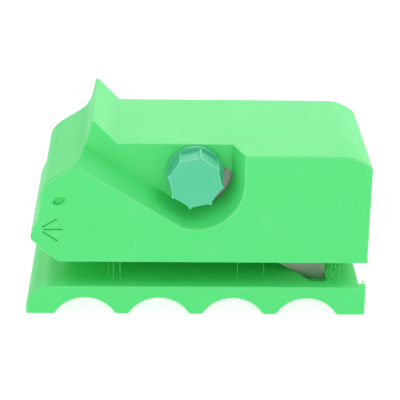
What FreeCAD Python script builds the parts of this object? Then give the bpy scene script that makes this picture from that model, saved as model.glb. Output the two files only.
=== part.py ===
"""Hand-held strip cutter: a printed C-shaped body with a clamped trapezoid blade.

X runs from the nose (left) to the tail (right), Y from the open front to the back, Z up.
The tool is drawn with its front face in the plane Y = 0 and rests on its finger rail at Z = 0.
Every node is then moved back by half the depth, so that the origin is under the middle.
"""

import FreeCAD
import Part
import math
import os

# ---- overall size (mm)
LENGTH = 100.0
DEPTH = 50.0
HEIGHT = 50.0
HALF = LENGTH / 2.0

# ---- throat between the finger rail and the block
RAIL_TOP = 9.0
BLOCK_BOTTOM = 17.0
THROAT_DEPTH = 30.0
RAIL_NOSE_RADIUS = 7.0
TAIL_STEP = 1.9
TAIL_LIP = 3.0

# ---- finger scallops under the rail
FINGER_PITCH = 21.8
FINGER_COUNT = 4
FINGER_RADIUS = 10.2
FINGER_RISE = 5.2
FINGER_EDGE = 1.4

# ---- tail corner of the block
TAIL_RUN = 8.3
TAIL_DROP = 3.7

# ---- clamp axis and pocket
AXIS_X = -0.7
AXIS_Z = 41.2
POCKET_DEPTH = 10.0
POCKET_RADIUS = 10.8
POCKET_FLOOR = 10.1
POCKET_FLOOR_ANGLE = 31.5
POCKET_FLARE = 3.3

# ---- blade (standard trapezoid utility blade) and its slot
BLADE_LONG = 61.0
BLADE_SHORT = 33.0
BLADE_WIDTH = 19.0
BLADE_THICK = 0.65
BLADE_BEVEL = 1.4
BLADE_ANGLE = 28.9
BLADE_FRONT = 12.0
BLADE_REACH = 23.33
BLADE_BELOW_AXIS = 13.73
NOTCH_SPACING = 15.4
NOTCH_WIDTH = 3.2
NOTCH_DEPTH = 3.0
SLOT_CLEAR = 0.3

# ---- knob, screw, washer and nut
KNOB_FLAT_RADIUS = 7.25
KNOB_RIB_RING = 7.6
KNOB_TURN = 34.5
KNOB_FLATS = 8
KNOB_RIB = 0.6
KNOB_FRONT = 1.5
FLANGE_RADIUS = 8.45
FLANGE_THICK = 1.4
FLANGE_BACK = 9.7
BOSS_RADIUS = 5.4
BOSS_BACK = 11.0
WASHER_RADIUS = 6.0
WASHER_THICK = 1.0
WASHER_BORE = 4.3
SCREW_DIAMETER = 4.0
SCREW_END = 47.8
HEAD_ACROSS = 7.0
HEAD_THICK = 2.8
HEAD_FRONT = 5.0
SCREW_BORE = 4.4
NUT_ACROSS = 7.0
NUT_BORE = 4.1
NUT_THICK = 3.2
NUT_BACK = 47.2
NUT_TRAP_DEPTH = 6.0

# ---- face engraving
EYE_DEPTH = 1.1
ENGRAVE_DEPTH = 0.6
WHISKER_WIDTH = 0.5


def vec(x, z, y=0.0):
    return FreeCAD.Vector(x, y, z)


def prism(points, y0, y1):
    """Solid whose outline is given in X and Z, running from y0 to y1."""
    wire = Part.makePolygon([vec(x, z, y0) for x, z in points] + [vec(*points[0], y0)])
    return Part.Face(wire).extrude(FreeCAD.Vector(0, y1 - y0, 0))


def extrude_edges(edges, y0, y1):
    wire = Part.Wire(edges)
    face = Part.Face(wire)
    face.translate(FreeCAD.Vector(0, y0, 0))
    return face.extrude(FreeCAD.Vector(0, y1 - y0, 0))


def rod(x, z, radius, y0, y1):
    return Part.makeCylinder(radius, y1 - y0, vec(x, z, y0), FreeCAD.Vector(0, 1, 0))


def polygon_points(x, z, across_flats, sides, turn=0.0):
    radius = across_flats / 2.0 / math.cos(math.pi / sides)
    points = []
    for index in range(sides):
        angle = math.radians(turn) + 2.0 * math.pi * index / sides
        points.append((x + radius * math.cos(angle), z + radius * math.sin(angle)))
    return points


def along_blade(along, above):
    """Point given along the blade slope and above it, measured from the clamp axis."""
    angle = math.radians(BLADE_ANGLE)
    x = AXIS_X + along * math.cos(angle) + above * math.sin(angle)
    z = AXIS_Z - along * math.sin(angle) + above * math.cos(angle)
    return (x, z)


def head_edges():
    """Side outline of the block: nose, brow, thumb rest, crest, top, tail and underside."""
    corner = vec(HALF, HEIGHT - TAIL_DROP)
    tail_top = vec(HALF - TAIL_RUN, HEIGHT)
    crest_foot = vec(-23.4, HEIGHT)
    crest_back = vec(-29.5, 56.3)
    crest_tip = vec(-30.15, 56.75)
    crest_front = vec(-30.85, 56.0)
    rest_end = vec(-35.3, 46.7)
    brow_start = vec(-41.2, 43.0)
    brow_end = vec(-45.0, 37.6)
    cheek = vec(-46.0, 30.2)
    snout = vec(-47.3, 27.6)
    nose = vec(-48.2, 25.0)
    lip = vec(-46.8, 22.9)
    chin_top = vec(-45.9, 21.2)
    chin_foot = vec(-40.2, BLOCK_BOTTOM)
    tail_foot = vec(HALF, BLOCK_BOTTOM)
    rest = Part.BSplineCurve()
    rest.interpolate(
        Points=[crest_front, vec(-31.5, 52.9), vec(-32.3, 50.5), vec(-33.5, 48.4), rest_end],
        InitialTangent=FreeCAD.Vector(-0.15, 0, -1),
        FinalTangent=FreeCAD.Vector(-0.85, 0, -0.53),
    )
    brow = Part.BSplineCurve()
    brow.interpolate(
        Points=[brow_start, vec(-43.6, 40.8), brow_end],
        InitialTangent=FreeCAD.Vector(-0.85, 0, -0.53),
        FinalTangent=FreeCAD.Vector(-0.14, 0, -1),
    )
    return [
        Part.makeLine(tail_foot, corner),
        Part.Arc(corner, vec(HALF - 3.4, HEIGHT - 1.35), tail_top).toShape(),
        Part.makeLine(tail_top, crest_foot),
        Part.makeLine(crest_foot, crest_back),
        Part.Arc(crest_back, crest_tip, crest_front).toShape(),
        rest.toShape(),
        Part.makeLine(rest_end, brow_start),
        brow.toShape(),
        Part.makeLine(brow_end, cheek),
        Part.makeLine(cheek, snout),
        Part.makeLine(snout, nose),
        Part.Arc(nose, vec(-47.9, 23.7), lip).toShape(),
        Part.makeLine(lip, chin_top),
        Part.makeLine(chin_top, chin_foot),
        Part.makeLine(chin_foot, tail_foot),
    ]


def make_block():
    return extrude_edges(head_edges(), 0.0, DEPTH)


def make_rail():
    rail = Part.makeBox(LENGTH, DEPTH, RAIL_TOP, FreeCAD.Vector(-HALF, 0, 0))
    nose = [edge for edge in rail.Edges if at_line(edge, -HALF, RAIL_TOP)]
    rail = rail.makeFillet(RAIL_NOSE_RADIUS, nose)
    first = -FINGER_PITCH * (FINGER_COUNT - 1) / 2.0
    for index in range(FINGER_COUNT):
        middle = first + index * FINGER_PITCH
        rail = rail.cut(rod(middle, FINGER_RISE - FINGER_RADIUS, FINGER_RADIUS, -1.0, DEPTH + 1.0))
    feet = [edge for edge in rail.Edges if is_scallop_foot(edge)]
    rail = rail.makeFillet(FINGER_EDGE, feet)
    step = Part.makeBox(TAIL_STEP + 1.0, DEPTH, RAIL_TOP + 2.0)
    step.translate(FreeCAD.Vector(HALF - TAIL_STEP, TAIL_LIP, -1.0))
    return rail.cut(step)


def at_line(edge, x, z):
    box = edge.BoundBox
    return box.YLength > DEPTH - 1.0 and abs(box.XMin - x) < 0.1 and abs(box.ZMin - z) < 0.1


def is_scallop_foot(edge):
    box = edge.BoundBox
    return box.YLength > DEPTH - 1.0 and abs(box.ZMax) < 0.01 and abs(box.XMin) < HALF - 1.0


def pocket_wire(y, grow):
    """Outline of the clamp pocket at depth y, widened by grow on its wall, round and floor."""
    slope = math.radians(POCKET_FLOOR_ANGLE)
    radius = POCKET_RADIUS + grow
    drop = POCKET_FLOOR + grow
    reach = math.sqrt(radius ** 2 - drop ** 2)
    kink_x = AXIS_X - drop * math.sin(slope) + reach * math.cos(slope)
    kink_z = AXIS_Z - drop * math.cos(slope) - reach * math.sin(slope)
    run = 60.0
    end_x = kink_x - run * math.cos(slope)
    end_z = kink_z + run * math.sin(slope)
    start = vec(AXIS_X + radius, AXIS_Z, y)
    kink = vec(kink_x, kink_z, y)
    bow = vec(AXIS_X + radius * math.cos(math.radians(-45)), AXIS_Z + radius * math.sin(math.radians(-45)), y)
    end = vec(end_x, end_z, y)
    high_left = vec(end_x, 80.0, y)
    high_right = vec(AXIS_X + radius, 80.0, y)
    return Part.Wire([
        Part.makeLine(high_right, start),
        Part.Arc(start, bow, kink).toShape(),
        Part.makeLine(kink, end),
        Part.makeLine(end, high_left),
        Part.makeLine(high_left, high_right),
    ])


def make_pocket():
    slant = POCKET_FLARE / POCKET_DEPTH
    mouth = pocket_wire(-1.0, POCKET_FLARE + slant)
    back = pocket_wire(POCKET_DEPTH, 0.0)
    return Part.makeLoft([mouth, back], True, True)


def blade_outline(grow):
    """Corners of the blade trapezoid, cutting edge down, widened by grow."""
    side = (BLADE_LONG - BLADE_SHORT) / 2.0
    lean = math.hypot(side, BLADE_WIDTH) / BLADE_WIDTH
    low = -BLADE_BELOW_AXIS - grow
    high = BLADE_WIDTH - BLADE_BELOW_AXIS + grow
    long_half = BLADE_LONG / 2.0 + grow * (lean + side / BLADE_WIDTH)
    short_half = BLADE_SHORT / 2.0 + grow * (lean - side / BLADE_WIDTH)
    return [
        along_blade(BLADE_REACH - long_half, low),
        along_blade(BLADE_REACH + long_half, low),
        along_blade(BLADE_REACH + short_half, high),
        along_blade(BLADE_REACH - short_half, high),
    ]


def make_blade():
    back = BLADE_FRONT + BLADE_THICK
    blade = prism(blade_outline(0.0), BLADE_FRONT, back)
    top = BLADE_WIDTH - BLADE_BELOW_AXIS
    for side in (-1, 1):
        middle = BLADE_REACH + side * NOTCH_SPACING / 2.0
        notch = [
            along_blade(middle - NOTCH_WIDTH / 2.0, top + 1.0),
            along_blade(middle - NOTCH_WIDTH / 2.0, top - NOTCH_DEPTH),
            along_blade(middle + NOTCH_WIDTH / 2.0, top - NOTCH_DEPTH),
            along_blade(middle + NOTCH_WIDTH / 2.0, top + 1.0),
        ]
        blade = blade.cut(prism(notch, BLADE_FRONT - 1.0, back + 1.0))
    bevels = []
    for y_edge, y_out in ((BLADE_FRONT, -1.0), (back, 1.0)):
        bevels.append(edge_bevel(y_edge, y_out))
    for bevel in bevels:
        blade = blade.cut(bevel)
    return blade


def edge_bevel(y_face, outward):
    """Wedge that grinds one face of the blade down to its cutting edge."""
    low = -BLADE_BELOW_AXIS
    middle = BLADE_FRONT + BLADE_THICK / 2.0
    inner = middle + outward * 0.04
    start = BLADE_REACH - BLADE_LONG
    corners = []
    for above, y in ((low + BLADE_BEVEL, y_face), (low, inner), (low - 1.0, inner), (low - 1.0, y_face + outward)):
        corners.append((above, y))
    corners.append((low + BLADE_BEVEL, y_face + outward))
    points = []
    for above, y in corners:
        x, z = along_blade(start, above)
        points.append(vec(x, z, y))
    face = Part.Face(Part.makePolygon(points + [points[0]]))
    tip_x, tip_z = along_blade(start + 2.0 * BLADE_LONG, 0.0)
    base_x, base_z = along_blade(start, 0.0)
    return face.extrude(vec(tip_x - base_x, tip_z - base_z))


def tip_well():
    """Well in the rail that takes the blade tip, open towards the front of the throat."""
    floor = 6.6
    corners = [(28.6, 13.6), (34.2, 4.4), (38.9, 4.2), (38.9, 13.6)]
    wire = Part.makePolygon([vec(x, floor, y) for x, y in corners + corners[:1]])
    well = Part.Face(wire).extrude(FreeCAD.Vector(0, 0, RAIL_TOP + 1.0 - floor))
    upright = [edge for edge in well.Edges if edge.BoundBox.ZLength > 2.0 and edge.BoundBox.YMax < 6.0]
    return well.makeFillet(1.6, upright)


def make_slot():
    slot = prism(blade_outline(SLOT_CLEAR), BLADE_FRONT - 0.35, BLADE_FRONT + BLADE_THICK + 0.05)
    window = prism(blade_outline(SLOT_CLEAR), POCKET_DEPTH - 1.0, BLADE_FRONT + BLADE_THICK + 0.05)
    pocket_face = Part.Face(pocket_wire(POCKET_DEPTH - 1.0, 0.0))
    pocket_core = pocket_face.extrude(FreeCAD.Vector(0, 6.0, 0))
    tail_side = Part.makeBox(40.0, DEPTH, HEIGHT, vec(AXIS_X, 0.0, 0.0))
    return slot.fuse(window.common(pocket_core).common(tail_side))


def whisker(start, end):
    dx = end[0] - start[0]
    dz = end[1] - start[1]
    length = math.hypot(dx, dz)
    nx = -dz / length * WHISKER_WIDTH / 2.0
    nz = dx / length * WHISKER_WIDTH / 2.0
    points = [
        (start[0] + nx, start[1] + nz),
        (end[0] + nx, end[1] + nz),
        (end[0] - nx, end[1] - nz),
        (start[0] - nx, start[1] - nz),
    ]
    return prism(points, -1.0, ENGRAVE_DEPTH)


def make_face_marks():
    eye = Part.Ellipse(FreeCAD.Vector(0, 0, 0), 1.9, 1.2).toShape()
    eye = Part.Face(Part.Wire([eye])).extrude(FreeCAD.Vector(0, 0, 1.0 + EYE_DEPTH))
    eye.rotate(FreeCAD.Vector(0, 0, 0), FreeCAD.Vector(0, 0, 1), -24.0)
    eye.rotate(FreeCAD.Vector(0, 0, 0), FreeCAD.Vector(1, 0, 0), -90.0)
    eye.translate(vec(-39.8, 36.0, -1.0))
    marks = [eye]
    marks.append(whisker((-44.7, 27.8), (-40.5, 30.4)))
    marks.append(whisker((-44.2, 27.1), (-38.9, 27.15)))
    marks.append(whisker((-44.6, 26.4), (-40.4, 23.5)))
    return marks


def make_body():
    web = Part.makeBox(88.0, DEPTH - THROAT_DEPTH, BLOCK_BOTTOM - RAIL_TOP + 2.0)
    web.translate(FreeCAD.Vector(-40.0, THROAT_DEPTH, RAIL_TOP - 1.0))
    body = make_block().fuse(web).fuse(make_rail())
    body = body.cut(make_pocket())
    body = body.cut(make_slot())
    body = body.cut(tip_well())
    body = body.cut(rod(AXIS_X, AXIS_Z, SCREW_BORE / 2.0, POCKET_DEPTH - 2.0, DEPTH + 1.0))
    trap = polygon_points(AXIS_X, AXIS_Z, NUT_ACROSS + 0.1, 6, 30.0)
    body = body.cut(prism(trap, DEPTH - NUT_TRAP_DEPTH, DEPTH + 1.0))
    body = body.cut(rod(AXIS_X, AXIS_Z, WASHER_RADIUS + 0.4, POCKET_DEPTH - 1.0, BLADE_FRONT))
    for mark in make_face_marks():
        body = body.cut(mark)
    return body.removeSplitter()


def make_knob():
    back = FLANGE_BACK - FLANGE_THICK
    grip = polygon_points(AXIS_X, AXIS_Z, 2.0 * KNOB_FLAT_RADIUS, KNOB_FLATS, KNOB_TURN)
    knob = prism(grip, KNOB_FRONT, back)
    for index in range(KNOB_FLATS):
        angle = math.radians(KNOB_TURN + 360.0 * index / KNOB_FLATS)
        x = AXIS_X + KNOB_RIB_RING * math.cos(angle)
        z = AXIS_Z + KNOB_RIB_RING * math.sin(angle)
        knob = knob.fuse(rod(x, z, KNOB_RIB, KNOB_FRONT, back))
    knob = knob.removeSplitter()
    rim = [edge for edge in knob.Edges if edge.BoundBox.YMax < KNOB_FRONT + 0.01]
    knob = knob.makeChamfer(0.25, rim)
    knob = knob.fuse(rod(AXIS_X, AXIS_Z, FLANGE_RADIUS, back, FLANGE_BACK))
    knob = knob.fuse(rod(AXIS_X, AXIS_Z, BOSS_RADIUS, FLANGE_BACK, BOSS_BACK))
    head = prism(polygon_points(AXIS_X, AXIS_Z, HEAD_ACROSS, 6, 30.0), HEAD_FRONT, BOSS_BACK + 1.0)
    return knob.cut(head)


def make_screw():
    head = prism(polygon_points(AXIS_X, AXIS_Z, HEAD_ACROSS, 6, 30.0), HEAD_FRONT, HEAD_FRONT + HEAD_THICK)
    shank = rod(AXIS_X, AXIS_Z, SCREW_DIAMETER / 2.0, HEAD_FRONT + HEAD_THICK, SCREW_END)
    tip = [edge for edge in shank.Edges if edge.BoundBox.YMin > SCREW_END - 0.01]
    return head.fuse(shank.makeChamfer(0.5, tip)).removeSplitter()


def make_washer():
    ring = rod(AXIS_X, AXIS_Z, WASHER_RADIUS, BOSS_BACK, BOSS_BACK + WASHER_THICK)
    return ring.cut(rod(AXIS_X, AXIS_Z, WASHER_BORE / 2.0, BOSS_BACK - 1.0, BOSS_BACK + 3.0))


def make_nut():
    front = NUT_BACK - NUT_THICK
    nut = prism(polygon_points(AXIS_X, AXIS_Z, NUT_ACROSS, 6, 30.0), front, NUT_BACK)
    return nut.cut(rod(AXIS_X, AXIS_Z, NUT_BORE / 2.0, front - 1.0, NUT_BACK + 1.0))


os.makedirs("parts", exist_ok=True)

nodes = {
    "body": make_body(),
    "blade": make_blade(),
    "knob": make_knob(),
    "screw": make_screw(),
    "washer": make_washer(),
    "nut": make_nut(),
}
for name, shape in nodes.items():
    shape.translate(FreeCAD.Vector(0, -DEPTH / 2.0, 0))
    shape.exportStep("parts/" + name + ".step")
    box = shape.BoundBox
    print(name, shape.isValid(), len(shape.Solids), round(shape.Volume, 1),
          [round(v, 2) for v in (box.XMin, box.YMin, box.ZMin, box.XMax, box.YMax, box.ZMax)])
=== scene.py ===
"""Looks of a hand-held strip cutter: printed body, clamped blade, knob, screw, washer and nut."""

import bmesh
import bpy
import math
from mathutils import Matrix, Vector


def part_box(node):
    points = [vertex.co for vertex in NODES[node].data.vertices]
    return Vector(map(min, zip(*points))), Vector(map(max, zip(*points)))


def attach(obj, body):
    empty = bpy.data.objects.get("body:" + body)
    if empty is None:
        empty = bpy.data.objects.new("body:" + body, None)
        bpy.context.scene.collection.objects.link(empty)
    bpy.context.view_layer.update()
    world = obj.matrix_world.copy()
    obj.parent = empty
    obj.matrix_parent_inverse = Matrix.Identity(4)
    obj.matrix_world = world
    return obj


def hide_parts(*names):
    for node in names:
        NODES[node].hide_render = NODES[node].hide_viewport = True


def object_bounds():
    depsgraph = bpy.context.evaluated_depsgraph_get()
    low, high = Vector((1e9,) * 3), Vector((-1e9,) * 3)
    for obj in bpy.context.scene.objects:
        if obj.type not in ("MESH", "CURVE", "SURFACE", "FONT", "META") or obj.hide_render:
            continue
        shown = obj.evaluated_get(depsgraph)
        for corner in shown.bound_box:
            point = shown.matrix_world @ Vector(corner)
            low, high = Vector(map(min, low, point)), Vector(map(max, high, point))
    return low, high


bl_info = {
    "name": "Strip cutter looks",
    "version": (1, 0, 0),
    "blender": (4, 5, 0),
    "location": "3D View > Sidebar > Strip cutter",
    "description": "Finishes the packed strip cutter: print lines, soft edges, blade, thread, knob and stage",
    "category": "Object",
}

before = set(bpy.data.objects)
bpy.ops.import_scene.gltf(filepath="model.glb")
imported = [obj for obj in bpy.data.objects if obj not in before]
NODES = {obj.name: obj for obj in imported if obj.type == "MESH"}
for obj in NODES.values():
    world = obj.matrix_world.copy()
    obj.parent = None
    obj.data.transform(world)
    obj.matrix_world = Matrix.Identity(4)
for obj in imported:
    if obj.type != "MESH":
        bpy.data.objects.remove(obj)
CAD_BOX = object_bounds()
WASHER_LOW, WASHER_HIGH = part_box("washer")
AXIS_X = (WASHER_LOW[0] + WASHER_HIGH[0]) / 2
AXIS_Z = (WASHER_LOW[2] + WASHER_HIGH[2]) / 2
SCREW_LOW, SCREW_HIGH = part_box("screw")
HEAD_ACROSS = SCREW_HIGH[0] - SCREW_LOW[0]
NUT_LOW, NUT_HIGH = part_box("nut")

# ---- fixed measures (metres)
RAIL_TOP = 0.009
BLOCK_BOTTOM = 0.017
ON_FACE = 0.00002
ON_LEVEL = 0.0001
HEAD_THICK = 0.0028
HEX_CLEAR = 0.00004
HEX_BROKEN = 0.0003
NUT_BORE_RADIUS = 0.00205
NUT_BORE_BROKEN = 0.00012
STRING_TOP = 0.0171
STRING_FOOT = 0.0089
NIB_RADIUS = 0.00022
BLADE_SLANT = math.radians(-28.9)

# ---- studio
FLOOR_SIZE = 12.0
FLOOR_GREY = 0.3
FLOOR_GLOW = 0.85
WORLD_LIGHT = 0.6
LAMP_AIM = (0, 0, 0.02)
# place, size and power of each softbox
LAMPS = (
    ((0.35, 1.4, 0.85), 2.4, 22.0),
    ((-1.0, -0.8, 0.35), 0.8, 3.0),
    ((0.6, -0.5, 1.2), 0.8, 4.5),
)
CAMERA_LENS = 146.37
CAMERA_SHIFT = 0.00125
CAMERA_PLACE = (-0.01376363, -0.4560843, 0.21404919)
CAMERA_FORWARD = (0.03109483, 0.92419405, -0.38065532)
CAMERA_UP = (-0.00707829, 0.38103354, 0.92453412)


# ---------------------------------------------------------------- settings

class CutterSizes(bpy.types.PropertyGroup):
    edge_round: bpy.props.FloatProperty(
        name="Edge rounding", description="Width of the soft edge round the body's front and back",
        default=0.0007, unit="LENGTH", subtype="DISTANCE")
    knob_round: bpy.props.FloatProperty(
        name="Knob rounding", description="Width of the soft edge on the knob",
        default=0.0002, unit="LENGTH", subtype="DISTANCE")
    steel_round: bpy.props.FloatProperty(
        name="Steel rounding", description="Width of the broken edge on washer and screw head",
        default=0.0001, unit="LENGTH", subtype="DISTANCE")
    layer_height: bpy.props.FloatProperty(
        name="Layer height", description="Height of one printed layer",
        default=0.0003, unit="LENGTH", subtype="DISTANCE")
    skin_line: bpy.props.FloatProperty(
        name="Skin line", description="Width of one printed line on the flat faces",
        default=0.00045, unit="LENGTH", subtype="DISTANCE")
    string_radius: bpy.props.FloatProperty(
        name="String radius", description="Radius of the fine strings that printing left in the throat",
        default=0.00004, unit="LENGTH", subtype="DISTANCE")
    thread_pitch: bpy.props.FloatProperty(
        name="Thread pitch", description="Travel of the screw in one turn",
        default=0.0007, unit="LENGTH", subtype="DISTANCE")
    thread_radius: bpy.props.FloatProperty(
        name="Thread radius", description="Radius over the crests of the thread",
        default=0.00198, unit="LENGTH", subtype="DISTANCE")


class CutterColours(bpy.types.PropertyGroup):
    print_green: bpy.props.FloatVectorProperty(
        name="Print green", description="Colour of the printed body",
        default=(0.075, 0.80, 0.19), size=3, subtype="COLOR")
    knob_teal: bpy.props.FloatVectorProperty(
        name="Knob teal", description="Colour of the knob",
        default=(0.075, 0.60, 0.33), size=3, subtype="COLOR")
    blade_grey: bpy.props.FloatVectorProperty(
        name="Blade grey", description="Colour of the blade's flat sides",
        default=(0.66, 0.59, 0.63), size=3, subtype="COLOR")
    zinc_grey: bpy.props.FloatVectorProperty(
        name="Zinc grey", description="Colour of screw, washer and nut",
        default=(0.62, 0.62, 0.60), size=3, subtype="COLOR")


# ---------------------------------------------------------------- mesh helpers

def select_only(thing):
    if bpy.context.mode != "OBJECT":
        bpy.ops.object.mode_set(mode="OBJECT")
    bpy.ops.object.select_all(action="DESELECT")
    thing.select_set(True)
    bpy.context.view_layer.objects.active = thing


def start_piece(name):
    """Names the primitive that was just added and opens it in edit mode."""
    piece = bpy.context.object
    piece.name = name
    piece.data.name = name
    bpy.ops.object.mode_set(mode="EDIT")
    return piece


def select_where(piece, test, what="verts"):
    """Selects the vertices, or the faces, whose place passes the test. The piece is in edit mode."""
    bpy.ops.mesh.select_all(action="DESELECT")
    bpy.ops.object.mode_set(mode="OBJECT")
    if what == "verts":
        for vertex in piece.data.vertices:
            vertex.select = test(vertex.co)
    else:
        for face in piece.data.polygons:
            face.select = test(face.center)
    bpy.ops.object.mode_set(mode="EDIT")
    bpy.ops.mesh.select_mode(type="VERT" if what == "verts" else "FACE")


def set_down(piece):
    """Leaves edit mode and puts the piece's place into its mesh."""
    select_only(piece)
    bpy.ops.object.transform_apply(location=True, rotation=True, scale=True)


def copy_of_node(node, name):
    """A merged copy of a CAD node, free of the frame, ready to be worked on."""
    select_only(NODES[node])
    bpy.ops.object.duplicate()
    piece = bpy.context.object
    piece.name = name
    piece.data.name = name
    for key in list(piece.keys()):
        del piece[key]
    piece.parent = None
    bpy.ops.object.mode_set(mode="EDIT")
    bpy.ops.mesh.select_all(action="SELECT")
    bpy.ops.mesh.remove_doubles(threshold=0.000002)
    bpy.ops.mesh.dissolve_limited(angle_limit=math.radians(0.4))
    bpy.ops.object.mode_set(mode="OBJECT")
    return piece


def weigh_edges(piece, angle, share):
    """Marks each outer edge sharper than the angle with its share of the rounding, given by its middle."""
    mesh = bmesh.new()
    mesh.from_mesh(piece.data)
    weight = mesh.edges.layers.float.new("bevel_weight_edge")
    for edge in mesh.edges:
        if len(edge.link_faces) == 2 and edge.is_convex and edge.calc_face_angle() > math.radians(angle):
            edge[weight] = share((edge.verts[0].co + edge.verts[1].co) / 2.0)
    mesh.to_mesh(piece.data)
    mesh.free()


def soften(piece, width, angle, share=None, segments=2, clamp=True):
    """Rounds the sharp edges and shades the flats by their area, so that they stay flat to the eye."""
    select_only(piece)
    weigh_edges(piece, angle, share or (lambda middle: 1.0))
    bevel = piece.modifiers.new("Soft edges", "BEVEL")
    bevel.width = width
    bevel.segments = segments
    bevel.limit_method = "WEIGHT"
    bevel.use_clamp_overlap = clamp
    bpy.ops.object.modifier_apply(modifier=bevel.name)
    bpy.ops.object.shade_smooth_by_angle(angle=math.radians(32))
    flats = piece.modifiers.new("Flat faces", "WEIGHTED_NORMAL")
    flats.keep_sharp = True
    flats.weight = 100
    bpy.ops.object.modifier_apply(modifier=flats.name)


def body_edge_share(middle):
    """Full rounding on the front's outline, less on the back's, and a hair on fine features.

    Where rounding overlaps itself it folds the mesh, so the eye and whiskers, the screw's hole and
    trap, the slot and the inner levels of the throat get little or none.
    """
    front = middle.y - CAD_BOX[0][1]
    back = CAD_BOX[1][1] - middle.y
    from_axis = math.hypot(middle.x - AXIS_X, middle.z - AXIS_Z)
    if front < 0.002 and -0.0449 < middle.x < -0.037 and 0.0225 < middle.z < 0.0385:
        return 0.1
    if back < 0.007 and from_axis < 0.006:
        return 0.15
    if 0.0085 < front < 0.0135 and middle.z > 0.0165:
        return 0.1 if from_axis < 0.0125 and front > 0.0101 else 0.35
    if 0.0035 < front < 0.0145 and (middle.z < 0.0172 and middle.x > 0.012 or front > 0.0105):
        return 0.0
    if min(front, back) < ON_FACE:
        small = middle.z > 0.0545 or middle.x < -0.0452 and 0.021 < middle.z < 0.029
        return 0.4 if small or back < ON_FACE else 1.0
    if min(abs(middle.z - RAIL_TOP), abs(middle.z - BLOCK_BOTTOM)) < ON_LEVEL:
        return 0.15
    return 0.4


def give(piece, material):
    piece.data.materials.clear()
    piece.data.materials.append(material)


# ---------------------------------------------------------------- node helpers

def add_node(tree, kind, **settings):
    made = tree.nodes.new(kind)
    for key, value in settings.items():
        setattr(made, key, value)
    return made


def feed(tree, socket, value):
    """Links a socket, or sets a plain value."""
    if isinstance(value, bpy.types.NodeSocket):
        tree.links.new(value, socket)
    else:
        socket.default_value = value


def maths(tree, operation, first, second=0.0):
    made = add_node(tree, "ShaderNodeMath", operation=operation)
    feed(tree, made.inputs[0], first)
    feed(tree, made.inputs[1], second)
    return made.outputs[0]


def span(tree, value, low, high, out_low=0.0, out_high=1.0):
    made = add_node(tree, "ShaderNodeMapRange", interpolation_type="SMOOTHSTEP")
    feed(tree, made.inputs["Value"], value)
    made.inputs["From Min"].default_value = low
    made.inputs["From Max"].default_value = high
    made.inputs["To Min"].default_value = out_low
    made.inputs["To Max"].default_value = out_high
    return made.outputs[0]


def stretched(tree, position, amounts):
    made = add_node(tree, "ShaderNodeVectorMath", operation="MULTIPLY")
    feed(tree, made.inputs[0], position)
    made.inputs[1].default_value = amounts
    return made.outputs[0]


def noise(tree, position, scale, detail=2.0, rough=0.5):
    made = add_node(tree, "ShaderNodeTexNoise")
    feed(tree, made.inputs["Vector"], position)
    feed(tree, made.inputs["Scale"], scale)
    made.inputs["Detail"].default_value = detail
    made.inputs["Roughness"].default_value = rough
    return made.outputs["Fac"]


def blend_colours(tree, factor, first, second):
    made = add_node(tree, "ShaderNodeMix", data_type="RGBA")
    feed(tree, made.inputs[0], factor)
    feed(tree, made.inputs[6], first)
    feed(tree, made.inputs[7], second)
    return made.outputs[2]


def toward(colour, other, amount):
    """A colour part of the way to another, with alpha."""
    return (*(a + (b - a) * amount for a, b in zip(colour, other)), 1.0)


def start_group(name, inputs, outputs):
    tree = bpy.data.node_groups.new(name, "ShaderNodeTree")
    for label, kind in inputs:
        tree.interface.new_socket(name=label, in_out="INPUT", socket_type=kind)
    for label in outputs:
        tree.interface.new_socket(name=label, in_out="OUTPUT", socket_type="NodeSocketFloat")
    return tree, add_node(tree, "NodeGroupInput"), add_node(tree, "NodeGroupOutput")


def print_layers_group():
    """Ridges of the printed layers, stacked along Y, and the slow change from layer to layer."""
    tree, start, end = start_group(
        "print layers", [("Position", "NodeSocketVector"), ("Layer height", "NodeSocketFloat")],
        ["Ridges", "Streaks"])
    parts = add_node(tree, "ShaderNodeSeparateXYZ")
    tree.links.new(start.outputs["Position"], parts.inputs[0])
    turns = maths(tree, "DIVIDE", parts.outputs["Y"], start.outputs["Layer height"])
    wave = maths(tree, "SINE", maths(tree, "MULTIPLY", turns, 2.0 * math.pi))
    tree.links.new(maths(tree, "MULTIPLY_ADD", wave, 0.5), end.inputs["Ridges"])
    wide = noise(tree, stretched(tree, start.outputs["Position"], (22.0, 700.0, 22.0)), 1.0, 3.0)
    tree.links.new(span(tree, wide, 0.3, 0.7), end.inputs["Streaks"])
    return tree


def skin_lines_group():
    """Diagonal lines of the last printed layer on faces that look along Y."""
    tree, start, end = start_group(
        "skin lines", [("Position", "NodeSocketVector"), ("Line width", "NodeSocketFloat")],
        ["Lines", "Patches"])
    parts = add_node(tree, "ShaderNodeSeparateXYZ")
    tree.links.new(start.outputs["Position"], parts.inputs[0])
    across = maths(tree, "ADD", parts.outputs["X"], parts.outputs["Z"])
    turns = maths(tree, "DIVIDE", across, start.outputs["Line width"])
    wave = maths(tree, "SINE", maths(tree, "MULTIPLY", turns, math.pi))
    tree.links.new(maths(tree, "ABSOLUTE", wave), end.inputs["Lines"])
    tree.links.new(noise(tree, start.outputs["Position"], 90.0, 3.0), end.inputs["Patches"])
    return tree


def face_masks_group():
    """Where a surface looks along Y, and where it is the rounding that leads to such a face."""
    tree, start, end = start_group("face masks", [("Normal", "NodeSocketVector")], ["Flat", "Rounding"])
    parts = add_node(tree, "ShaderNodeSeparateXYZ")
    tree.links.new(start.outputs["Normal"], parts.inputs[0])
    along = maths(tree, "ABSOLUTE", parts.outputs["Y"])
    tree.links.new(span(tree, along, 0.95, 0.99), end.inputs["Flat"])
    rise = span(tree, along, 0.36, 0.55)
    fall = span(tree, along, 0.9, 0.98, 1.0, 0.0)
    tree.links.new(maths(tree, "MULTIPLY", rise, fall), end.inputs["Rounding"])
    return tree


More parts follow.
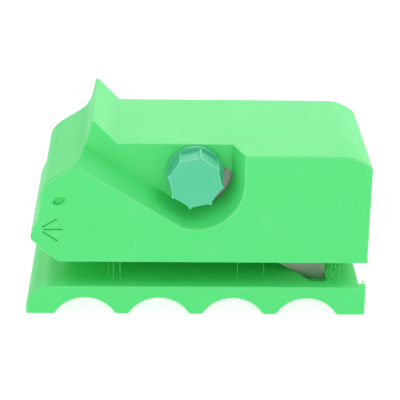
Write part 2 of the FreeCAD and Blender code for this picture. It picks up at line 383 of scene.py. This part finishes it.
def scuffs_group():
    """Small rubbed patches and specks from use."""
    inputs = [("Position", "NodeSocketVector"), ("Scale", "NodeSocketFloat"), ("Amount", "NodeSocketFloat")]
    tree, start, end = start_group("scuffs", inputs, ["Mask", "Specks"])
    broad = noise(tree, start.outputs["Position"], start.outputs["Scale"], 5.0, 0.65)
    mask = maths(tree, "MULTIPLY", span(tree, broad, 0.56, 0.72), start.outputs["Amount"])
    tree.links.new(mask, end.inputs["Mask"])
    fine_scale = maths(tree, "MULTIPLY", start.outputs["Scale"], 9.0)
    fine = noise(tree, start.outputs["Position"], fine_scale, 1.0)
    specks = maths(tree, "MULTIPLY", span(tree, fine, 0.66, 0.76), start.outputs["Amount"])
    tree.links.new(specks, end.inputs["Specks"])
    return tree


def brushed_group():
    """Fine lines along X of the given position, as grinding leaves them."""
    tree, start, end = start_group(
        "brushed", [("Position", "NodeSocketVector"), ("Scale", "NodeSocketFloat")], ["Lines", "Cloud"])
    drawn = stretched(tree, start.outputs["Position"], (0.035, 1.0, 1.0))
    fine = noise(tree, drawn, start.outputs["Scale"], 4.0, 0.7)
    tree.links.new(fine, end.inputs["Lines"])
    tree.links.new(noise(tree, start.outputs["Position"], 120.0, 3.0), end.inputs["Cloud"])
    return tree


def group_in(tree, maker, **values):
    """Places a node group, building it the first time, and feeds its inputs."""
    names = {
        print_layers_group: "print layers",
        skin_lines_group: "skin lines",
        face_masks_group: "face masks",
        scuffs_group: "scuffs",
        brushed_group: "brushed",
    }
    made = add_node(tree, "ShaderNodeGroup")
    made.node_tree = bpy.data.node_groups.get(names[maker]) or maker()
    for label, value in values.items():
        feed(tree, made.inputs[label.replace("_", " ").capitalize()], value)
    return made.outputs


def start_material(name):
    material = bpy.data.materials.new(name)
    material.use_nodes = True
    tree = material.node_tree
    return material, tree, tree.nodes["Principled BSDF"], add_node(tree, "ShaderNodeTexCoord")


def raise_surface(tree, shader, height, distance, strength=1.0):
    bump = add_node(tree, "ShaderNodeBump")
    tree.links.new(height, bump.inputs["Height"])
    bump.inputs["Distance"].default_value = distance
    bump.inputs["Strength"].default_value = strength
    tree.links.new(bump.outputs["Normal"], shader.inputs["Normal"])


# ---------------------------------------------------------------- materials

def printed_plastic(name, colour, pale, sizes, rough, scuffed, rim):
    """Printed plastic: layers on the sides, skin lines on the flat faces, a painted highlight on the rounded
    edges and light scuffs.
    """
    material, tree, shader, place = start_material(name)
    where = place.outputs["Object"]
    masks = group_in(tree, face_masks_group, normal=place.outputs["Normal"])
    layers = group_in(tree, print_layers_group, position=where, layer_height=sizes.layer_height)
    skin = group_in(tree, skin_lines_group, position=where, line_width=sizes.skin_line)
    scuffs = group_in(tree, scuffs_group, position=where, scale=75.0, amount=scuffed)
    side = maths(tree, "SUBTRACT", 1.0, masks["Flat"])

    deep = toward(colour, (0.0, 0.45, 0.1), 0.10)
    streaks = maths(tree, "MULTIPLY", layers["Streaks"], side)
    streaked = blend_colours(tree, streaks, toward(colour, deep, 0.9), (*colour, 1.0))
    mottled = blend_colours(tree, maths(tree, "MULTIPLY", skin["Patches"], 0.10), streaked, pale)
    # Painted highlight: the rounding beside the flat faces is mixed toward the pale colour by the rim share.
    edge_highlighted = blend_colours(tree, maths(tree, "MULTIPLY", masks["Rounding"], rim), mottled, pale)
    worn = blend_colours(tree, maths(tree, "MULTIPLY", scuffs["Mask"], 0.12), edge_highlighted, pale)
    tree.links.new(worn, shader.inputs["Base Color"])

    gloss = maths(tree, "ADD", rough, maths(tree, "MULTIPLY", scuffs["Mask"], 0.16))
    gloss = maths(tree, "ADD", gloss, maths(tree, "MULTIPLY", layers["Streaks"], 0.07))
    tree.links.new(gloss, shader.inputs["Roughness"])

    sides = maths(tree, "MULTIPLY", layers["Ridges"], side)
    flats = maths(tree, "MULTIPLY", maths(tree, "MULTIPLY", skin["Lines"], masks["Flat"]), 0.35)
    height = maths(tree, "ADD", sides, flats)
    height = maths(tree, "ADD", height, maths(tree, "MULTIPLY", layers["Streaks"], 0.3))
    height = maths(tree, "SUBTRACT", height, maths(tree, "MULTIPLY", scuffs["Specks"], 0.5))
    raise_surface(tree, shader, height, 0.000018)
    return material


def string_plastic(name, pale):
    """Thin drawn strings: paler and glossier than the body, a little uneven along their length."""
    material, tree, shader, place = start_material(name)
    where = place.outputs["Object"]
    scuffs = group_in(tree, scuffs_group, position=where, scale=900.0, amount=1.0)
    thin = toward(pale[:3], (0.85, 1.0, 0.88), 0.45)
    tree.links.new(blend_colours(tree, scuffs["Mask"], pale, thin), shader.inputs["Base Color"])
    tree.links.new(maths(tree, "MULTIPLY_ADD", scuffs["Specks"], 0.3), shader.inputs["Roughness"])
    raise_surface(tree, shader, noise(tree, where, 2500.0), 0.00001)
    return material


def blade_steel(name, grey):
    """Rolled blade steel with grinding lines along the edge and a brighter ground bevel."""
    material, tree, shader, place = start_material(name)
    along = add_node(tree, "ShaderNodeMapping")
    along.inputs["Rotation"].default_value = (0.0, BLADE_SLANT, 0.0)
    tree.links.new(place.outputs["Object"], along.inputs["Vector"])
    lines = group_in(tree, brushed_group, position=along.outputs[0], scale=9000.0)
    masks = group_in(tree, face_masks_group, normal=place.outputs["Normal"])
    scuffs = group_in(tree, scuffs_group, position=place.outputs["Object"], scale=160.0, amount=1.0)
    ground = maths(tree, "SUBTRACT", 1.0, span(tree, masks["Flat"], 0.2, 0.9))

    dark, light = toward(grey, (0.0, 0.0, 0.0), 0.18), toward(grey, (1.0, 1.0, 1.0), 0.12)
    tone = blend_colours(tree, lines["Lines"], dark, light)
    stain = toward(grey, (0.3, 0.25, 0.2), 0.4)
    tone = blend_colours(tree, maths(tree, "MULTIPLY", lines["Cloud"], 0.35), tone, stain)
    tone = blend_colours(tree, ground, tone, (0.75, 0.75, 0.76, 1.0))
    rubbed = maths(tree, "MULTIPLY", scuffs["Mask"], 0.3)
    tone = blend_colours(tree, rubbed, tone, (0.6, 0.6, 0.6, 1.0))
    tree.links.new(tone, shader.inputs["Base Color"])
    gloss = maths(tree, "SUBTRACT", 0.52, maths(tree, "MULTIPLY", ground, 0.2))
    gloss = maths(tree, "ADD", gloss, maths(tree, "MULTIPLY", lines["Cloud"], 0.12))
    tree.links.new(gloss, shader.inputs["Roughness"])
    shader.inputs["Metallic"].default_value = 0.5
    height = maths(tree, "SUBTRACT", lines["Lines"], maths(tree, "MULTIPLY", scuffs["Specks"], 0.6))
    raise_surface(tree, shader, height, 0.000006)
    return material


def zinc_steel(name, grey, rough, scale):
    """Zinc-plated steel: cloudy plating, faint turning lines and rubbed spots."""
    material, tree, shader, place = start_material(name)
    lines = group_in(tree, brushed_group, position=place.outputs["Object"], scale=scale)
    scuffs = group_in(tree, scuffs_group, position=place.outputs["Object"], scale=220.0, amount=1.0)
    dull, bright = toward(grey, (0.35, 0.35, 0.4), 0.35), toward(grey, (1.0, 1.0, 0.95), 0.3)
    tone = blend_colours(tree, lines["Cloud"], dull, bright)
    rubbed = maths(tree, "MULTIPLY", scuffs["Mask"], 0.5)
    tone = blend_colours(tree, rubbed, tone, (0.4, 0.39, 0.37, 1.0))
    tree.links.new(tone, shader.inputs["Base Color"])
    gloss = maths(tree, "ADD", rough, maths(tree, "MULTIPLY", lines["Lines"], 0.15))
    gloss = maths(tree, "ADD", gloss, maths(tree, "MULTIPLY", scuffs["Mask"], 0.2))
    tree.links.new(gloss, shader.inputs["Roughness"])
    shader.inputs["Metallic"].default_value = 0.95
    raise_surface(tree, shader, maths(tree, "SUBTRACT", lines["Lines"], scuffs["Specks"]), 0.000006)
    return material


# ---------------------------------------------------------------- pieces

def drawn_string(name, route, radius):
    """One printing string: a six-sided ring drawn out point by point along its route."""
    bpy.ops.object.select_all(action="DESELECT")
    bpy.ops.mesh.primitive_circle_add(vertices=6, radius=radius, fill_type="NGON", location=route[0])
    piece = start_piece(name)
    bpy.ops.mesh.select_all(action="SELECT")
    for here, there in zip(route, route[1:]):
        step = Vector(there) - Vector(here)
        bpy.ops.mesh.extrude_region_move(TRANSFORM_OT_translate={"value": step})
    bpy.ops.mesh.select_all(action="SELECT")
    bpy.ops.mesh.normals_make_consistent(inside=False)
    set_down(piece)
    bpy.ops.object.shade_smooth()
    return piece


def hanging_route(x, y, top, foot, lean, bow):
    """Points of a nearly straight string from the block's underside down to the rail."""
    points = []
    for index in range(7):
        part = index / 6.0
        sag = bow * math.sin(math.pi * part)
        points.append((x + lean * part + sag, y + 0.5 * sag, top + (foot - top) * part))
    return points


def curled_route(x, y, top, foot, swing, turns):
    """Points of a loose curl that winds down to the rail."""
    points = []
    for index in range(41):
        part = index / 40.0
        angle = 2.0 * math.pi * turns * part
        reach = swing * part
        points.append((x + reach * math.sin(angle), y + 0.8 * reach * (1.0 - math.cos(angle)),
                       top + (foot - top) * part))
    return points


def joined(pieces, name):
    select_only(pieces[0])
    for piece in pieces[1:]:
        piece.select_set(True)
    bpy.ops.object.join()
    whole = bpy.context.object
    whole.name = name
    whole.data.name = name
    return whole


def thread_rod(name, radius, pitch, y0, y1):
    """A solid rod with a real helical thread on the clamp axis."""
    depth = 0.6 * pitch
    turns = math.ceil((y1 - y0) / pitch) + 3
    bpy.ops.object.select_all(action="DESELECT")
    bpy.ops.mesh.primitive_circle_add(vertices=4, radius=pitch / 2.0)
    rod = start_piece(name)
    select_where(rod, lambda place: place.x < -0.2 * pitch)
    bpy.ops.mesh.delete(type="VERT")
    bpy.ops.mesh.select_all(action="SELECT")
    bpy.ops.transform.resize(value=(2.0 * depth / pitch, 1.0, 1.0), center_override=(0, 0, 0))
    bpy.ops.transform.translate(value=(radius - depth, y0 - 1.5 * pitch, 0.0))
    select_only(rod)
    screw = rod.modifiers.new("Thread", "SCREW")
    screw.axis = "Y"
    screw.screw_offset = pitch
    screw.iterations = turns
    screw.steps = 24
    screw.render_steps = 24
    screw.use_merge_vertices = True
    screw.merge_threshold = 0.000001
    bpy.ops.object.modifier_apply(modifier=screw.name)
    bpy.ops.object.mode_set(mode="EDIT")
    for height, outward in ((y0, -1.0), (y1, 1.0)):
        bpy.ops.mesh.select_all(action="SELECT")
        bpy.ops.mesh.bisect(plane_co=(0, height, 0), plane_no=(0, outward, 0),
                            use_fill=True, clear_outer=True)
    bpy.ops.mesh.select_all(action="SELECT")
    bpy.ops.mesh.remove_doubles(threshold=0.000001)
    bpy.ops.mesh.normals_make_consistent(inside=False)
    bpy.ops.transform.translate(value=(AXIS_X, 0.0, AXIS_Z))
    set_down(rod)
    bpy.ops.object.shade_smooth_by_angle(angle=math.radians(30))
    return rod


def hexagon(name, across, y0, y1, broken, both_ends=True):
    """A hexagonal head or nut on the clamp axis, its corners turned off as on bar stock."""
    corner = across / math.sqrt(3.0)
    middle = (AXIS_X, (y0 + y1) / 2.0, AXIS_Z)
    bpy.ops.object.select_all(action="DESELECT")
    bpy.ops.mesh.primitive_cylinder_add(vertices=6, radius=corner, depth=y1 - y0, location=middle,
                                        rotation=(math.radians(90), 0.0, 0.0))
    block = start_piece(name)
    set_down(block)
    bpy.ops.object.select_all(action="DESELECT")
    bpy.ops.mesh.primitive_cylinder_add(vertices=72, radius=corner, depth=y1 - y0, location=middle,
                                        rotation=(math.radians(90), 0.0, 0.0))
    turned = start_piece(name + "_turning")
    set_down(turned)
    ends = (y0, y1) if both_ends else (y0,)
    bpy.ops.object.mode_set(mode="EDIT")
    select_where(turned, lambda place: min(abs(place.y - end) for end in ends) < 0.00001, "faces")
    bpy.ops.mesh.inset(thickness=2.0 * broken)
    bpy.ops.object.mode_set(mode="OBJECT")
    rim = corner - 0.00001
    for vertex in turned.data.vertices:
        away = math.hypot(vertex.co.x - AXIS_X, vertex.co.z - AXIS_Z)
        vertex.select = away > rim and min(abs(vertex.co.y - end) for end in ends) < 0.00001
    bpy.ops.object.mode_set(mode="EDIT")
    bpy.ops.mesh.select_mode(type="VERT")
    bpy.ops.transform.resize(value=(1.0, 1.0 - 2.0 * broken / (y1 - y0), 1.0), center_override=middle)
    select_only(block)
    cut = block.modifiers.new("Turned corners", "BOOLEAN")
    cut.operation = "INTERSECT"
    cut.object = turned
    bpy.ops.object.modifier_apply(modifier=cut.name)
    bpy.data.objects.remove(turned)
    return block


def bored(piece, radius, y0, y1, broken):
    """Drills the piece on the clamp axis and breaks the hole's edges."""
    bpy.ops.object.select_all(action="DESELECT")
    bpy.ops.mesh.primitive_cylinder_add(vertices=48, radius=radius, depth=y1 - y0 + 0.002,
                                        location=(AXIS_X, (y0 + y1) / 2.0, AXIS_Z),
                                        rotation=(math.radians(90), 0.0, 0.0))
    drill = start_piece(piece.name + "_drill")
    set_down(drill)
    select_only(piece)
    cut = piece.modifiers.new("Bore", "BOOLEAN")
    cut.operation = "DIFFERENCE"
    cut.object = drill
    bpy.ops.object.modifier_apply(modifier=cut.name)
    bpy.data.objects.remove(drill)
    soften(piece, broken, 35.0)
    return piece


# ---------------------------------------------------------------- operators

class CUTTER_OT_body(bpy.types.Operator):
    """Softens the edges of the printed body and gives it its printed finish"""
    bl_idname = "cutter.body"
    bl_label = "Printed body"

    def execute(self, context):
        sizes = context.scene.cutter_sizes
        green = context.scene.cutter_colours.print_green
        body = copy_of_node("body", "printed_body")
        soften(body, sizes.edge_round, 30.0, body_edge_share, 3, clamp=False)
        pale = toward(green, (0.9, 1.0, 0.9), 0.28)
        # rim sets the painted highlight on the body's rounded edges
        give(body, printed_plastic("green print", green, pale, sizes, rough=0.42, scuffed=1.0, rim=0.25))
        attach(body, "frame")
        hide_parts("body")
        return {"FINISHED"}


class CUTTER_OT_strings(bpy.types.Operator):
    """Draws the fine strings that printing left across the throat, and the loose tuft at the tail"""
    bl_idname = "cutter.strings"
    bl_label = "Printing strings"

    def execute(self, context):
        sizes = context.scene.cutter_sizes
        green = context.scene.cutter_colours.print_green
        front = CAD_BOX[0][1]
        strings = []
        straight = ((-0.0262, 0.006, 0.0002), (-0.0240, 0.004, -0.0003), (-0.0231, 0.009, 0.0004),
                    (-0.0222, 0.005, 0.0001), (0.0120, 0.006, 0.0001), (0.0204, 0.007, -0.0002),
                    (-0.0080, 0.016, 0.0003), (0.0318, 0.015, -0.0002))
        for index, (x, back, lean) in enumerate(straight):
            route = hanging_route(x, front + back, STRING_TOP, STRING_FOOT, lean, 0.00025 * (-1) ** index)
            strings.append(drawn_string("string_%d" % index, route, sizes.string_radius))
        curls = ((0.0393, 0.008, 0.0005, 2.0), (0.0400, 0.006, 0.0007, 2.6), (0.0407, 0.009, 0.0004, 3.1),
                 (0.0412, 0.005, 0.0008, 2.2), (0.0418, 0.007, 0.0006, 3.4), (0.0424, 0.004, 0.0005, 2.8),
                 (0.0429, 0.008, 0.0004, 3.7), (0.0404, 0.010, 0.0009, 1.6))
        for index, (x, back, swing, turns) in enumerate(curls):
            route = curled_route(x, front + back, STRING_TOP, STRING_FOOT, swing, turns)
            strings.append(drawn_string("curl_%d" % index, route, sizes.string_radius * 0.9))
        nib = [(0.0494, front + 0.0035, 0.0086), (0.0494, front + 0.0035, 0.0094),
               (0.0495, front + 0.0036, 0.0099)]
        strings.append(drawn_string("nib", nib, NIB_RADIUS))
        whole = joined(strings, "printing_strings")
        give(whole, string_plastic("printing string", toward(green, (0.9, 1.0, 0.9), 0.35)))
        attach(whole, "frame")
        return {"FINISHED"}


class CUTTER_OT_blade(bpy.types.Operator):
    """Gives the clamped blade its ground steel"""
    bl_idname = "cutter.blade"
    bl_label = "Blade"

    def execute(self, context):
        give(NODES["blade"], blade_steel("blade steel", context.scene.cutter_colours.blade_grey))
        return {"FINISHED"}


class CUTTER_OT_knob(bpy.types.Operator):
    """Softens the ribbed knob and gives it its printed finish"""
    bl_idname = "cutter.knob"
    bl_label = "Knob"

    def execute(self, context):
        sizes = context.scene.cutter_sizes
        teal = context.scene.cutter_colours.knob_teal
        knob = copy_of_node("knob", "ribbed_knob")
        soften(knob, sizes.knob_round, 30.0)
        pale = toward(teal, (0.5, 1.0, 0.75), 0.6)
        # rim sets the painted highlight on the knob's rounded edges and facets
        give(knob, printed_plastic("teal print", teal, pale, sizes, rough=0.38, scuffed=0.8, rim=0.55))
        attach(knob, "grip")
        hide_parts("knob")
        return {"FINISHED"}


class CUTTER_OT_screw(bpy.types.Operator):
    """Makes the screw with its real thread and hexagonal head"""
    bl_idname = "cutter.screw"
    bl_label = "Clamp screw"

    def execute(self, context):
        sizes = context.scene.cutter_sizes
        head_front = SCREW_LOW[1]
        head_back = head_front + HEAD_THICK
        head = hexagon("screw_head", HEAD_ACROSS - HEX_CLEAR, head_front, head_back, HEX_BROKEN,
                       both_ends=False)
        rod = thread_rod("screw_rod", sizes.thread_radius, sizes.thread_pitch, head_back - 0.0002,
                         SCREW_HIGH[1])
        screw = joined([rod, head], "clamp_screw")
        give(screw, zinc_steel("zinc thread", context.scene.cutter_colours.zinc_grey, 0.28, 5000.0))
        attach(screw, "grip")
        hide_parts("screw")
        return {"FINISHED"}


class CUTTER_OT_washer_and_nut(bpy.types.Operator):
    """Makes the washer with its broken edges and the captive nut with its turned corners"""
    bl_idname = "cutter.washer_and_nut"
    bl_label = "Washer and nut"

    def execute(self, context):
        sizes = context.scene.cutter_sizes
        zinc = context.scene.cutter_colours.zinc_grey
        washer = copy_of_node("washer", "clamp_washer")
        soften(washer, sizes.steel_round, 30.0)
        give(washer, zinc_steel("zinc washer", zinc, 0.34, 3500.0))
        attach(washer, "clamp")
        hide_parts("washer")
        across = NUT_HIGH[0] - NUT_LOW[0]
        nut = hexagon("captive_nut", across - HEX_CLEAR, NUT_LOW[1], NUT_HIGH[1], HEX_BROKEN)
        bored(nut, NUT_BORE_RADIUS, NUT_LOW[1], NUT_HIGH[1], NUT_BORE_BROKEN)
        give(nut, zinc_steel("zinc nut", zinc, 0.3, 4200.0))
        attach(nut, "frame")
        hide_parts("nut")
        return {"FINISHED"}


class CUTTER_OT_stage(bpy.types.Operator):
    """Sets the pale floor, the soft studio light and the camera"""
    bl_idname = "cutter.stage"
    bl_label = "Stage"

    def execute(self, context):
        bpy.ops.object.select_all(action="DESELECT")
        bpy.ops.mesh.primitive_plane_add(size=FLOOR_SIZE, location=(0, 0, 0))
        floor = context.object
        floor.name = "floor"
        material, tree, shader, place = start_material("pale floor")
        shader.inputs["Base Color"].default_value = (FLOOR_GREY, FLOOR_GREY, FLOOR_GREY, 1)
        shader.inputs["Roughness"].default_value = 0.9
        shader.inputs["Emission Color"].default_value = (1, 1, 1, 1)
        shader.inputs["Emission Strength"].default_value = FLOOR_GLOW
        give(floor, material)
        world = bpy.data.worlds.new("studio")
        world.use_nodes = True
        sky = world.node_tree.nodes["Background"]
        sky.inputs["Color"].default_value = (1, 1, 1, 1)
        sky.inputs["Strength"].default_value = WORLD_LIGHT
        context.scene.world = world
        for index, (spot, size, power) in enumerate(LAMPS):
            bpy.ops.object.light_add(type="AREA", location=spot)
            lamp = context.object
            lamp.name = "softbox_%d" % index
            lamp.data.size = size
            lamp.data.energy = power
            aim = Vector(LAMP_AIM) - Vector(spot)
            lamp.rotation_euler = aim.to_track_quat("-Z", "Y").to_euler()
        data = bpy.data.cameras.new("camera")
        camera = bpy.data.objects.new("camera", data)
        context.scene.collection.objects.link(camera)
        data.lens = CAMERA_LENS
        data.clip_start = 0.01
        data.shift_x = -CAMERA_SHIFT
        data.shift_y = CAMERA_SHIFT
        forward, up = Vector(CAMERA_FORWARD), Vector(CAMERA_UP)
        turn = Matrix((forward.cross(up), up, -forward)).transposed()
        camera.matrix_world = Matrix.Translation(CAMERA_PLACE) @ turn.to_4x4()
        context.scene.camera = camera
        context.scene.view_settings.view_transform = "Standard"
        return {"FINISHED"}


class CUTTER_PT_panel(bpy.types.Panel):
    """The steps that finish the cutter, with their sizes and colours"""
    bl_idname = "CUTTER_PT_panel"
    bl_label = "Strip cutter"
    bl_space_type = "VIEW_3D"
    bl_region_type = "UI"
    bl_category = "Strip cutter"

    def draw(self, context):
        groups = (("Sizes", context.scene.cutter_sizes), ("Colours", context.scene.cutter_colours))
        for title, group in groups:
            box = self.layout.box()
            box.label(text=title)
            for name in group.__annotations__:
                box.prop(group, name)
        steps = self.layout.column(align=True)
        for step in STEPS:
            steps.operator(step.bl_idname)


STEPS = (CUTTER_OT_body, CUTTER_OT_strings, CUTTER_OT_blade, CUTTER_OT_knob, CUTTER_OT_screw,
         CUTTER_OT_washer_and_nut, CUTTER_OT_stage)
CLASSES = (CutterSizes, CutterColours, *STEPS, CUTTER_PT_panel)


def register():
    for item in CLASSES:
        bpy.utils.register_class(item)
    bpy.types.Scene.cutter_sizes = bpy.props.PointerProperty(type=CutterSizes)
    bpy.types.Scene.cutter_colours = bpy.props.PointerProperty(type=CutterColours)


def unregister():
    del bpy.types.Scene.cutter_colours
    del bpy.types.Scene.cutter_sizes
    for item in reversed(CLASSES):
        bpy.utils.unregister_class(item)


def main():
    register()
    bpy.ops.cutter.body()
    bpy.ops.cutter.strings()
    bpy.ops.cutter.blade()
    bpy.ops.cutter.knob()
    bpy.ops.cutter.screw()
    bpy.ops.cutter.washer_and_nut()
    bpy.ops.cutter.stage()


if __name__ == "__main__":
    main()
